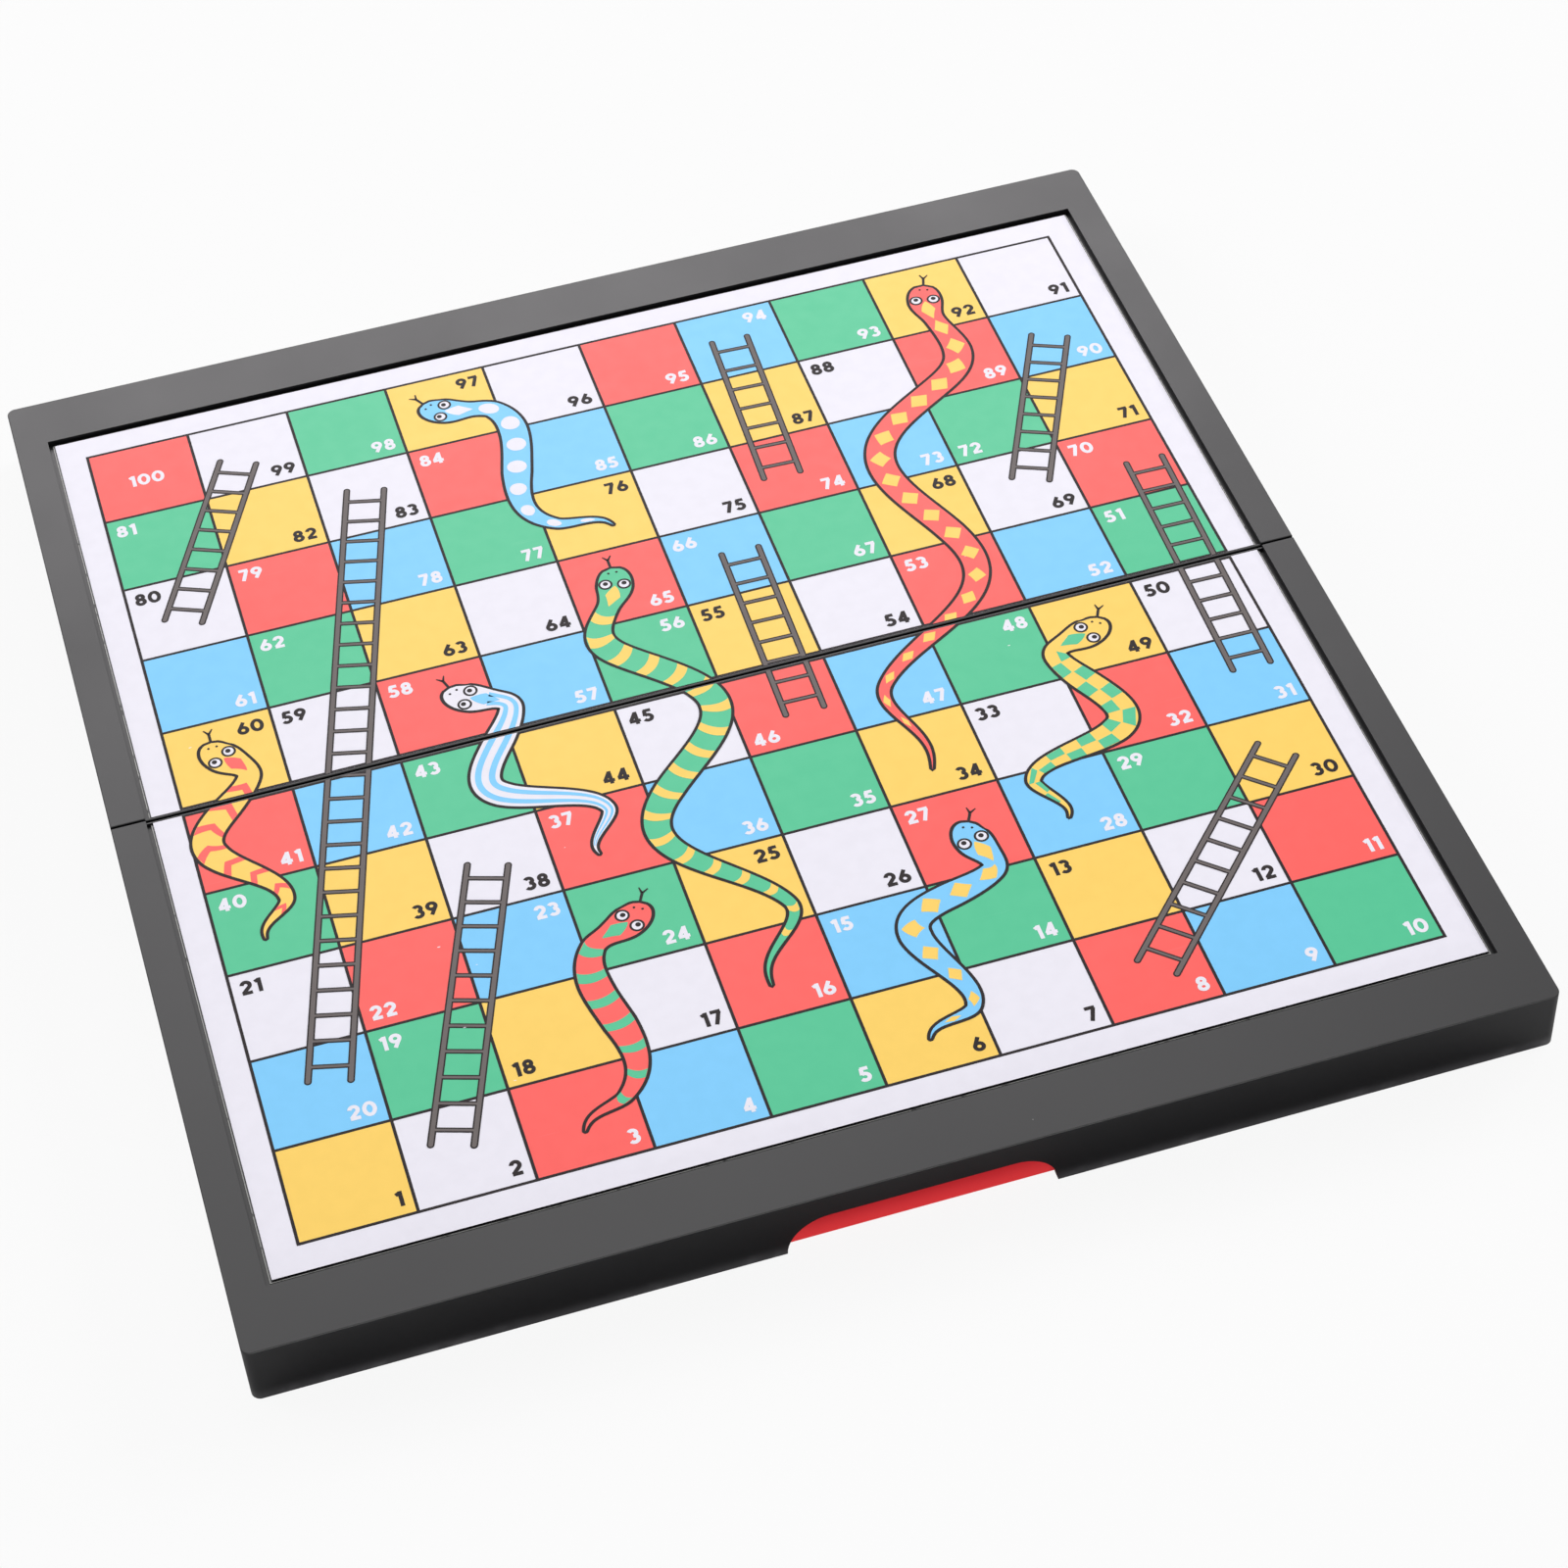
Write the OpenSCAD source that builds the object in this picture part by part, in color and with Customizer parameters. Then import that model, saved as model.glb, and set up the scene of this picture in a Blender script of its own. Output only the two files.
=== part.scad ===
// Folding travel board for snakes and ladders.
// Two moulded halves lie flat for play and fold, printed sides out, into a case with
// a storage tray in each half. Two-pin links join the halves, and the rounded hinge
// edges roll round each other from flat to shut.
// Millimetres. X runs along the fold, +Y to the rear half, +Z up. The origin is on
// the table, under the middle of the fold.

/* [Shell] */
// Width of the board along the fold
board_w = 250; // [200:1:320]
// Depth of one half, from the fold line to its free edge
half_d = 131; // [105:1:170]
// Height of a half
shell_h = 14; // [13:0.5:22]
// Thickness of the walls
wall = 2; // [1.5:0.1:3]
// Thickness of the deck under the playing surface
deck_t = 2; // [1.2:0.1:3]
// Radius of the free corners, seen from above
corner_r = 1.8; // [1:0.1:5]
// Rounding of the upper outer edges
edge_r = 0.2; // [0.1:0.05:0.8]
// Gap between the halves along the fold
fold_gap = 0.5; // [0.3:0.1:0.8]

/* [Playing surface] */
// Width of the rim at the two sides
side_rim = 7; // [5:0.5:12]
// Width of the rim at the free edge
free_rim = 13.3; // [8:0.1:20]
// Width of the thin lip along the fold
fold_lip = 0.45; // [0.3:0.05:1.2]
// How far the fold lip lies below the face of the sheet
lip_sink = 0.05; // [0:0.05:0.3]
// Depth of the recess below the rim
recess_depth = 1.3; // [0.9:0.1:2]
// Gap between the steel plate and the rim
plate_gap = 0.85; // [0.2:0.05:2]
// Gap between the steel plate and the fold lip
plate_fold_gap = 0.1; // [0.05:0.05:0.4]
// Thickness of the steel plate
plate_t = 0.35; // [0.2:0.05:0.5]
// Width of the steel left bare round the printed sheet
bare_edge = 0.45; // [0:0.05:1.5]
// Thickness of the printed sheet
sheet_t = 0.38; // [0.2:0.02:0.5]

/* [Finger notch] */
// Width of the notch at the table
notch_w = 52; // [36:1:80]
// Height of the notch, also the radius of its ends
notch_h = 8.3; // [5:0.1:9]

/* [Hinge] */
// Radius of the rounded hinge edge about its pin
barrel_r = 3.5; // [3:0.1:4.5]
// Diameter of the hinge pins
pin_d = 2.4; // [1.6:0.1:2.6]
// Radial clearance of a pin in the shell
pin_fit = 0.02; // [0.01:0.01:0.05]
// Radial clearance of a pin in a link
link_fit = 0.05; // [0.03:0.01:0.08]
// Width of a link along the pins
link_w = 8; // [5:0.5:14]
// How far a link's surface lies inside the rounded hinge edge
link_relief = 0.6; // [0.4:0.1:0.8]
// Gap on each side of a link in its slot
link_gap = 0.3; // [0.2:0.05:0.6]
// Distance from the board's side to the middle of a link
link_inset = 26; // [20:1:60]
// Length of pin held in the shell past a link
pin_grip = 9; // [5:1:20]
// How far a pin's outer end lies inside the board's side
pin_sink = 0.4; // [0.2:0.1:1.5]

/* [Storage tray] */
// Thickness of the tray's walls
tray_wall = 1.5; // [1:0.1:2.5]
// Thickness of the tray's base
tray_base = 1.2; // [0.8:0.1:2]
// Clearance between the tray and the shell
tray_fit = 0.3; // [0.2:0.05:0.6]
// Clearance between the tray and the free wall
tray_free_fit = 0.1; // [0.05:0.05:0.3]
// Height of the tray's open edge above the table
tray_lift = 0.2; // [0.1:0.05:0.5]
// Number of compartments side by side
pocket_count = 3; // [1:1:5]
// Corner radius of a compartment
pocket_r = 6; // [3:0.5:12]

/* [Closing magnets] */
// Diameter of a disc magnet
magnet_d = 6; // [4:0.5:8]
// Thickness of a disc magnet
magnet_t = 2; // [1:0.1:3]
// Radial clearance of a magnet in its post
magnet_fit = 0.02; // [0.01:0.01:0.05]
// Wall of the corner post round a magnet
post_wall = 1.5; // [1:0.1:2.5]

/* [Hidden] */

$fn = 64;
cut = 1; // overshoot of a cut past an outer face

// Shell
side_x = board_w / 2;
fold_y = fold_gap / 2;
recess_z = shell_h - recess_depth;
deck_z = recess_z - deck_t;
inner_x = side_x - wall;
inner_y = half_d - wall;

// Playing surface
recess_x = side_x - side_rim;
recess_y0 = fold_y + fold_lip;
recess_y1 = half_d - free_rim;
plate_x = recess_x - plate_gap;
plate_y0 = recess_y0 + plate_fold_gap;
plate_y1 = recess_y1 - plate_gap;
sheet_x = plate_x - bare_edge;
sheet_y1 = plate_y1 - bare_edge;
lip_z = recess_z + plate_t + sheet_t - lip_sink;
lip_edge_r = min(edge_r, fold_lip / 2);

// Hinge
pivot_y = fold_y + barrel_r;
barrel_y = fold_y + 2 * barrel_r;
link_x = side_x - link_inset;
link_r = barrel_r - link_relief;
slot_w = link_w + 2 * link_gap;
pin_r = pin_d / 2;
pin_x0 = link_x - slot_w / 2 - pin_grip;
pin_x1 = side_x - pin_sink;

// Tray and corner posts
post_r = magnet_d / 2 + magnet_fit + post_wall;
post_x = inner_x - magnet_d / 2 - magnet_fit;
post_y = inner_y - magnet_d / 2 - magnet_fit;
tray_x = inner_x - tray_fit;
tray_y0 = barrel_y + tray_fit;
tray_y1 = inner_y - tray_free_fit;
pocket_w = (2 * tray_x - (pocket_count + 1) * tray_wall) / pocket_count;
pocket_d = tray_y1 - tray_y0 - 2 * tray_wall;
pocket_h = deck_z - tray_base - tray_lift;

// Places a rear or right-hand shape in the front half or on the left
module to_front() { mirror([0, 1, 0]) children(); }
module to_left() { mirror([1, 0, 0]) children(); }

// Rectangle with round corners, from its lower left corner
module round_rect(w, d, r) {
    translate([r, 0]) square([w - 2 * r, d]);
    translate([0, r]) square([w, d - 2 * r]);
    for (x = [r, w - r], y = [r, d - r]) translate([x, y]) circle(r);
}

// Section of the shell's outer edge, as deep as the corner radius
module edge_section() {
    square([corner_r, shell_h - edge_r]);
    square([corner_r - edge_r, shell_h]);
    translate([corner_r - edge_r, shell_h - edge_r]) circle(edge_r);
}

// Outer form of a half: core, two sides, free edge and two corners
module shell_block() {
    core_x = side_x - corner_r;
    core_d = half_d - corner_r - fold_y;
    translate([-core_x, fold_y, 0]) cube([2 * core_x, core_d, shell_h]);
    translate([-core_x, fold_y + core_d, 0]) rotate([90, 0, 90])
        linear_extrude(2 * core_x) edge_section();
    for (left = [0, 1]) mirror([left, 0, 0]) translate([core_x, fold_y + core_d, 0]) {
        rotate([90, 0, 0]) linear_extrude(core_d) edge_section();
        rotate_extrude(angle = 90) edge_section();
    }
}

// Hollow under the deck, and the square foot of the fold wall that the barrel replaces
module shell_hollow() {
    translate([-inner_x, fold_y + wall, -cut])
        cube([2 * inner_x, inner_y - fold_y - wall, deck_z + cut]);
    translate([-side_x - cut, 0, -cut]) cube([board_w + 2 * cut, pivot_y, barrel_r + cut]);
}

// Rounded hinge edge about the pin's axis
module hinge_barrel() {
    translate([-side_x, pivot_y, barrel_r]) rotate([0, 90, 0]) cylinder(r = barrel_r, h = board_w);
}

// Outline of the right corner post, grown for what has to clear it
module post_outline(grow) {
    r = post_r + grow;
    reach_x = inner_x - post_x + wall / 2;
    reach_y = inner_y - post_y + wall / 2;
    translate([post_x, post_y]) {
        circle(r);
        translate([-r, 0]) square([r + reach_x, reach_y]);
        translate([0, -r]) square([reach_x, r + reach_y]);
    }
}

module corner_posts() {
    for (left = [0, 1]) mirror([left, 0, 0]) translate([0, 0, tray_lift])
        linear_extrude(deck_z - tray_lift + deck_t / 2) post_outline(0);
}

// Recess for the plate and the sheet, with a low lip left along the fold
module play_recess() {
    translate([-recess_x, recess_y0, recess_z])
        cube([2 * recess_x, recess_y1 - recess_y0, recess_depth + cut]);
    translate([-recess_x, fold_y - cut, lip_z])
        cube([2 * recess_x, cut + fold_lip + plate_fold_gap, shell_h - lip_z + cut]);
}

// What rounds an upper edge along the fold, to half_w on each side at height z
module fold_edge(half_w, z, r) {
    translate([-half_w, fold_y, z]) rotate([90, 0, 90]) linear_extrude(2 * half_w) difference() {
        translate([-cut, -r]) square([cut + r, r + cut]);
        translate([r, -r]) circle(r);
    }
}

// Half stadium through the free wall: the two halves make a whole one when folded
module finger_notch() {
    straight = notch_w - 2 * notch_h;
    translate([0, half_d + cut, 0]) rotate([90, 0, 0]) linear_extrude(wall + 2 * cut) {
        translate([-straight / 2, -notch_h]) square([straight, 2 * notch_h]);
        for (s = [-1, 1]) translate([s * straight / 2, 0]) circle(notch_h);
    }
}

// Slot for a link and the pin's hole, drilled from the board's side
module hinge_cuts() {
    for (left = [0, 1]) mirror([left, 0, 0]) {
        translate([link_x - slot_w / 2, 0, -cut])
            cube([slot_w, barrel_y + link_gap, 2 * barrel_r + link_gap + cut]);
        translate([pin_x0, pivot_y, barrel_r]) rotate([0, 90, 0])
            cylinder(r = pin_r + pin_fit, h = side_x - pin_x0 + cut);
    }
}

module magnet_pockets() {
    for (left = [0, 1]) mirror([left, 0, 0]) translate([post_x, post_y, tray_lift - cut])
        cylinder(r = magnet_d / 2 + magnet_fit, h = magnet_t + cut);
}

module shell() {
    color("#2c2b2e") difference() {
        union() {
            difference() {
                shell_block();
                shell_hollow();
            }
            hinge_barrel();
            corner_posts();
        }
        play_recess();
        fold_edge(side_x + cut, shell_h, edge_r);
        fold_edge(recess_x, lip_z, lip_edge_r);
        finger_notch();
        hinge_cuts();
        magnet_pockets();
    }
}

module steel_plate() {
    color("#b9bcc1") translate([-plate_x, plate_y0, recess_z])
        cube([2 * plate_x, plate_y1 - plate_y0, plate_t]);
}

module print_sheet() {
    color("#f1eff9") translate([-sheet_x, plate_y0, recess_z + plate_t])
        cube([2 * sheet_x, sheet_y1 - plate_y0, sheet_t]);
}

// Tray with its base against the deck and its compartments open to the table
module tray() {
    color("#d9252f") difference() {
        translate([0, 0, tray_lift]) linear_extrude(deck_z - tray_lift) difference() {
            translate([-tray_x, tray_y0]) square([2 * tray_x, tray_y1 - tray_y0]);
            for (left = [0, 1]) mirror([left, 0]) post_outline(tray_fit);
        }
        translate([0, 0, tray_lift - cut]) linear_extrude(pocket_h + cut) difference() {
            for (i = [0 : pocket_count - 1])
                translate([-tray_x + tray_wall + i * (pocket_w + tray_wall), tray_y0 + tray_wall])
                    round_rect(pocket_w, pocket_d, pocket_r);
            for (left = [0, 1]) mirror([left, 0]) post_outline(tray_fit + tray_wall);
        }
    }
}

// Link across the fold, with an eye for the pin of each half
module hinge_link() {
    color("#1f1f21") translate([link_x - link_w / 2, 0, barrel_r]) rotate([90, 0, 90])
        linear_extrude(link_w) difference() {
            union() {
                translate([-pivot_y, -link_r]) square([2 * pivot_y, 2 * link_r]);
                for (s = [-1, 1]) translate([s * pivot_y, 0]) circle(link_r);
            }
            for (s = [-1, 1]) translate([s * pivot_y, 0]) circle(pin_r + link_fit);
        }
}

module hinge_pin() {
    color("#c9ccd1") translate([pin_x0, pivot_y, barrel_r]) rotate([0, 90, 0])
        cylinder(r = pin_r, h = pin_x1 - pin_x0);
}

module magnet() {
    color("#8d9095") translate([post_x, post_y, tray_lift]) cylinder(d = magnet_d, h = magnet_t);
}

to_front() shell();  // front_shell
shell();  // rear_shell
to_front() steel_plate();  // front_steel_plate
steel_plate();  // rear_steel_plate
to_front() print_sheet();  // front_print_sheet
print_sheet();  // rear_print_sheet
to_front() tray();  // front_tray
tray();  // rear_tray
to_left() hinge_link();  // left_hinge_link
hinge_link();  // right_hinge_link
to_front() to_left() hinge_pin();  // front_left_hinge_pin
to_front() hinge_pin();  // front_right_hinge_pin
to_left() hinge_pin();  // rear_left_hinge_pin
hinge_pin();  // rear_right_hinge_pin
to_front() to_left() magnet();  // front_left_magnet
to_front() magnet();  // front_right_magnet
to_left() magnet();  // rear_left_magnet
magnet();  // rear_right_magnet
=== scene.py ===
import math

import bmesh
import bpy
import numpy as np
from mathutils import Matrix, Vector


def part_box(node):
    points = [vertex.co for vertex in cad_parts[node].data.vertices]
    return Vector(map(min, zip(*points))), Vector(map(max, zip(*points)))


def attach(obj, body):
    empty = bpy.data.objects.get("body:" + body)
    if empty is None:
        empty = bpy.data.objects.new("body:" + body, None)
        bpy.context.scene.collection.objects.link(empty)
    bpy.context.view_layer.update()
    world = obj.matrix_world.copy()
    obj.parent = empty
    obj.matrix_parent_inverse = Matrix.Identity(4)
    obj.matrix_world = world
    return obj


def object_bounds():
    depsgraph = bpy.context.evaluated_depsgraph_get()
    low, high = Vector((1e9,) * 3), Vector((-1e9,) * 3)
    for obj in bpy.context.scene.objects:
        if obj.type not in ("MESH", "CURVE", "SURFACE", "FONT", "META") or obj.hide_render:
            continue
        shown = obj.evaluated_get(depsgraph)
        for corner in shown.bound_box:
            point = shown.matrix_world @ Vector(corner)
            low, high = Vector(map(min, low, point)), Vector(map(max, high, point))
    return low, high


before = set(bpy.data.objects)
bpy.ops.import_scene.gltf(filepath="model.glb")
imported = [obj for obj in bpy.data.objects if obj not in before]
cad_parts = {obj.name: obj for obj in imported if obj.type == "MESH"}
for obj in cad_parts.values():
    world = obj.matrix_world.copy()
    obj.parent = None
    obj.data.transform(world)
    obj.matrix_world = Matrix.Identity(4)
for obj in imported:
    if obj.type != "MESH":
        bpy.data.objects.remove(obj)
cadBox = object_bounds()
boardSide, boardEnd, boardTop = cadBox[1]  # m, half width, half depth and height
mm = 0.001
print("board: frame loaded with", len(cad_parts), "nodes")

photoCamera = {
    "place": (-121.909, -520.008, 557.273),  # mm, up in front of the left corner
    "aim": (4.083, -32.367, 14.0),  # mm, where the middle of the picture meets the rims
    "roll": -3.481,  # degrees, right side down
    "lens": 86.224,
    "sensor": 36.0,
    "clip": (0.01, 50.0),  # m
}


def makeCamera(spec):
    # looks from place to aim, then rolls about its own line of sight
    data = bpy.data.cameras.new("camera")
    data.lens = spec["lens"]
    data.sensor_width = spec["sensor"]
    data.clip_start, data.clip_end = spec["clip"]
    camera = bpy.data.objects.new("camera", data)
    bpy.context.scene.collection.objects.link(camera)
    place = Vector(spec["place"]) * mm
    gaze = Vector(spec["aim"]) * mm - place
    roll = Matrix.Rotation(math.radians(spec["roll"]), 3, "Z")
    turn = gaze.to_track_quat("-Z", "Y").to_matrix() @ roll
    camera.matrix_world = Matrix.Translation(place) @ turn.to_4x4()
    bpy.context.scene.camera = camera


makeCamera(photoCamera)
print("board: camera set")


class Wire:
    # one socket of a node tree; each operator adds the Math node that it stands for
    def __init__(self, finish, socket):
        self.finish = finish
        self.socket = socket

    def math(self, operation, first, second=0.0):
        return self.finish.node("ShaderNodeMath", {"operation": operation}, {0: first, 1: second})

    def __add__(self, other):
        return self.math("ADD", self, other)

    def __radd__(self, other):
        return self.math("ADD", other, self)

    def __sub__(self, other):
        return self.math("SUBTRACT", self, other)

    def __rsub__(self, other):
        return self.math("SUBTRACT", other, self)

    def __mul__(self, other):
        return self.math("MULTIPLY", self, other)

    def __rmul__(self, other):
        return self.math("MULTIPLY", other, self)

    def __lt__(self, other):
        return self.math("LESS_THAN", self, other)

    def __gt__(self, other):
        return self.math("GREATER_THAN", self, other)

    def __abs__(self):
        return self.math("ABSOLUTE", self)


class Finish:
    # one material; node() adds any node, its settings first, then its sockets' values or links
    def __init__(self, name, tree=None):
        if tree is None:
            self.material = bpy.data.materials.new(name)
            self.material.use_nodes = True
            tree = self.material.node_tree
        self.tree = tree
        self.tree.nodes.clear()

    def node(self, kind, settings=None, inputs=None, output=0):
        made = self.tree.nodes.new(kind)
        for key, value in (settings or {}).items():
            setattr(made, key, value)
        for key, value in (inputs or {}).items():
            if isinstance(value, Wire):
                self.tree.links.new(value.socket, made.inputs[key])
            else:
                made.inputs[key].default_value = value
        return Wire(self, made.outputs[output] if made.outputs else None)

    def place(self, stretch=None):
        # Object coordinates, stretched where a pattern runs in lines
        spot = self.node("ShaderNodeTexCoord", output="Object")
        if stretch is None:
            return spot
        return self.node("ShaderNodeMapping", None, {"Vector": spot, "Scale": stretch})

    def axis(self, name):
        # one coordinate, m
        return self.node("ShaderNodeSeparateXYZ", None, {"Vector": self.place()}, output=name)

    def noise(self, scale, detail=2.0, stretch=None):
        # cloudy value about 0.5, scale in clouds per metre
        sockets = {"Vector": self.place(stretch), "Scale": scale, "Detail": detail}
        return self.node("ShaderNodeTexNoise", None, sockets)

    def specks(self, scale, size, share, stretch=None):
        # 1 inside a spot of that size in the given share of cells, else 0
        sockets = {"Vector": self.place(stretch), "Scale": scale}
        distance = self.node("ShaderNodeTexVoronoi", None, sockets, output="Distance")
        tint = Wire(self, distance.socket.node.outputs["Color"])
        chance = self.node("ShaderNodeSeparateColor", None, {"Color": tint})
        return (distance < size) * (chance < share)

    def between(self, value, low, high):
        # 0 up to low, 1 from high on, smooth in between
        sockets = {"Value": value, "From Min": low, "From Max": high}
        return self.node("ShaderNodeMapRange", {"interpolation_type": "SMOOTHSTEP"}, sockets)

    def blend(self, share, first, second):
        # from the first colour to the second as share goes from 0 to 1
        sockets = {0: share, 6: first, 7: second}
        return self.node("ShaderNodeMix", {"data_type": "RGBA"}, sockets, output=2)

    def bump(self, height, strength, distance):
        sockets = {"Height": height, "Strength": strength, "Distance": distance}
        return self.node("ShaderNodeBump", None, sockets)

    def surface(self, sockets):
        shader = self.node("ShaderNodeBsdfPrincipled", None, sockets)
        self.node("ShaderNodeOutputMaterial", None, {"Surface": shader})
        return self.material


def rgba(colour, share=1.0):
    # opaque colour, darkened to a share of itself
    return tuple(channel * share for channel in colour) + (1.0,)


shellLook = {
    "colour": (0.0042, 0.0040, 0.0047),
    "worn": (0.015, 0.0145, 0.016),  # rubbed along the outer edges
    "wornReach": 1.1,  # mm in from the outer edges
    "paintedFootLight": (0.085, 0.083, 0.088),  # painted light: the foot of the outer walls paler, in place of the bright floor reflected there
    "paintedFootLightUpTo": 4.2,  # mm above the table
    "dust": (0.30, 0.29, 0.28),
    "roughness": 0.36,
    "specular": 0.50,
    "haze": 26.0,  # clouds per metre, and so are the next four
    "grain": 4200.0,
    "hairlines": 60.0,
    "patches": 190.0,
    "dustSpots": 400.0,
    "relief": 0.00004,  # m
}


def shellFinish(look):
    # satin black moulding: fine spark grain, handling haze, hairlines, rubbed outer edges, some dust and
    # a foot painted paler as the floor's reflected light
    f = Finish("black satin moulding")
    haze = f.noise(look["haze"], 4.0)
    grain = f.noise(look["grain"])
    hairline = f.between(f.noise(look["hairlines"], 2.0, (1.0, 34.0, 1.0)), 0.70, 0.80)
    reach = look["wornReach"] * mm
    sides = f.between(abs(f.axis("X")), boardSide - reach, boardSide)
    ends = f.between(abs(f.axis("Y")), boardEnd - reach, boardEnd)
    upper = f.between(f.axis("Z"), boardTop - reach, boardTop)
    patchy = f.between(f.noise(look["patches"], 3.0), 0.48, 0.72)
    rub = (sides + ends) * upper * patchy * 0.6
    # painted light: the outer walls turn paler towards the table, standing in for the bright floor
    # reflected in them
    low = f.between(f.axis("Z"), look["paintedFootLightUpTo"] * mm, 0.0)
    foot = (sides + ends) * low * low * (0.55 + patchy * 0.45)
    dust = f.specks(look["dustSpots"], 0.055, 0.010)
    body = f.blend(rub + hairline * 0.10, rgba(look["colour"]), rgba(look["worn"]))
    body = f.blend(foot, body, rgba(look["paintedFootLight"]))
    tint = f.blend(dust * 0.4, body, rgba(look["dust"]))
    rough = look["roughness"] + (haze - 0.5) * 0.16 + (grain - 0.5) * 0.06 + rub * 0.06
    return f.surface({
        "Base Color": tint,
        "Roughness": rough,
        "Specular IOR Level": look["specular"],
        "Normal": f.bump(grain + haze * 0.4, 0.10, look["relief"]),
    })


trayLook = {
    "colour": (0.57, 0.011, 0.021),
    "deep": (0.48, 0.008, 0.015),
    "scuff": (0.86, 0.16, 0.16),
    "rim": (0.97, 0.054, 0.062),  # painted light: brighter towards the lower rims, as if lit by the floor below
    "rimUpTo": 6.8,  # mm above the table
    "roughness": 0.40,
    "specular": 0.40,
    "flow": 34.0,  # clouds per metre, and so are the next two
    "grain": 3600.0,
    "scuffs": 120.0,
    "relief": 0.00004,  # m
}


def trayFinish(look):
    # bright red moulding: slow flow marks in the colour, fine grain, a few scuffs from loose counters,
    # and painted light that makes it paler towards the lower rims
    f = Finish("red moulding")
    flow = f.noise(look["flow"], 3.0, (1.0, 2.4, 1.0))
    grain = f.noise(look["grain"])
    scuff = f.between(f.noise(look["scuffs"], 3.0, (1.0, 9.0, 1.0)), 0.66, 0.78)
    # painted light: paler towards the table, standing in for the light bounced up from the floor
    rim = f.between(f.axis("Z"), look["rimUpTo"] * mm, 0.0)
    body = f.blend(f.between(flow, 0.30, 0.75) * 0.55, rgba(look["colour"]), rgba(look["deep"]))
    body = f.blend(rim * 0.9, body, rgba(look["rim"]))
    tint = f.blend(scuff * 0.22, body, rgba(look["scuff"]))
    return f.surface({
        "Base Color": tint,
        "Roughness": look["roughness"] + (flow - 0.5) * 0.14 + scuff * 0.10,
        "Specular IOR Level": look["specular"],
        "Normal": f.bump(grain + flow * 0.5, 0.12, look["relief"]),
    })


linkLook = {
    "colour": (0.011, 0.011, 0.012),
    "rubbed": (0.05, 0.05, 0.052),
    "roughness": 0.52,
    "specular": 0.40,
    "grain": 2600.0,  # clouds per metre
    "streaks": 160.0,
    "relief": 0.00005,  # m
}


def linkFinish(look):
    # tough matt plastic, polished in streaks where the knuckles turn
    f = Finish("matt link plastic")
    grain = f.noise(look["grain"], 3.0)
    streak = f.between(f.noise(look["streaks"], 2.0, (6.0, 1.0, 1.0)), 0.50, 0.72)
    return f.surface({
        "Base Color": f.blend(streak * 0.4, rgba(look["colour"]), rgba(look["rubbed"])),
        "Roughness": look["roughness"] - streak * 0.16 + (grain - 0.5) * 0.08,
        "Specular IOR Level": look["specular"],
        "Normal": f.bump(grain, 0.18, look["relief"]),
    })


pinLook = {
    "colour": (0.60, 0.59, 0.57),
    "roughness": 0.26,
    "lines": 130.0,  # clouds per metre, drawn out along the wire by the stretch
    "stretch": (0.4, 40.0, 40.0),
    "film": 260.0,
    "relief": 0.00003,  # m
}
magnetLook = {
    "colour": (0.64, 0.61, 0.56),
    "roughness": 0.20,
    "lines": 130.0,  # clouds per metre, set close by the stretch
    "stretch": (14.0, 14.0, 3.0),
    "film": 260.0,
    "relief": 0.00003,  # m
}


def metalFinish(name, look):
    # bare metal with the lines of its making and a dull film in clouds
    f = Finish(name)
    lines = f.noise(look["lines"], 3.0, look["stretch"])
    film = f.between(f.noise(look["film"], 3.0), 0.42, 0.70)
    tint = f.blend(film * 0.35 + lines * 0.15, rgba(look["colour"]), rgba(look["colour"], 0.55))
    return f.surface({
        "Base Color": tint,
        "Metallic": 1.0,
        "Roughness": look["roughness"] + film * 0.14 + (lines - 0.5) * 0.16,
        "Normal": f.bump(lines, 0.10, look["relief"]),
    })


plateLook = {
    # black lacquer, also painted shade beside the print sheet
    "lacquerShade": (0.010, 0.010, 0.011),
    "steel": (0.17, 0.17, 0.165),
    "bare": 0.18,  # mm of bright steel along the sheared outer edges, also a painted highlight on those edges
    "roughness": 0.38,
    "chips": 520.0,  # clouds per metre
    "lines": 130.0,
    "relief": 0.00003,  # m
}


def plateFinish(look):
    # steel sheet, black lacquer on its face and bright metal where the shears chipped it off; the dark
    # face is also painted shade beside the print sheet, the bright strip a painted highlight
    f = Finish("steel sheet with painted shade and glint")
    lowest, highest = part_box("front_steel_plate")
    bare = look["bare"] * mm
    # painted light: the dark face also stands in for the shade beside the print sheet, and the bright
    # broken strip for the highlight on the outer edges
    side = abs(f.axis("X")) > highest.x - bare
    end = abs(f.axis("Y")) > -lowest.y - bare
    chippedGlint = f.between(f.noise(look["chips"], 3.0), 0.26, 0.44)
    lines = f.noise(look["lines"], 3.0, (1.0, 30.0, 1.0))
    metal = side.math("MAXIMUM", side, end) * chippedGlint
    return f.surface({
        "Base Color": f.blend(metal, rgba(look["lacquerShade"]), rgba(look["steel"])),
        "Metallic": metal,
        "Roughness": look["roughness"] + (lines - 0.5) * 0.16,
        "Normal": f.bump(lines, 0.10, look["relief"]),
    })


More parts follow.
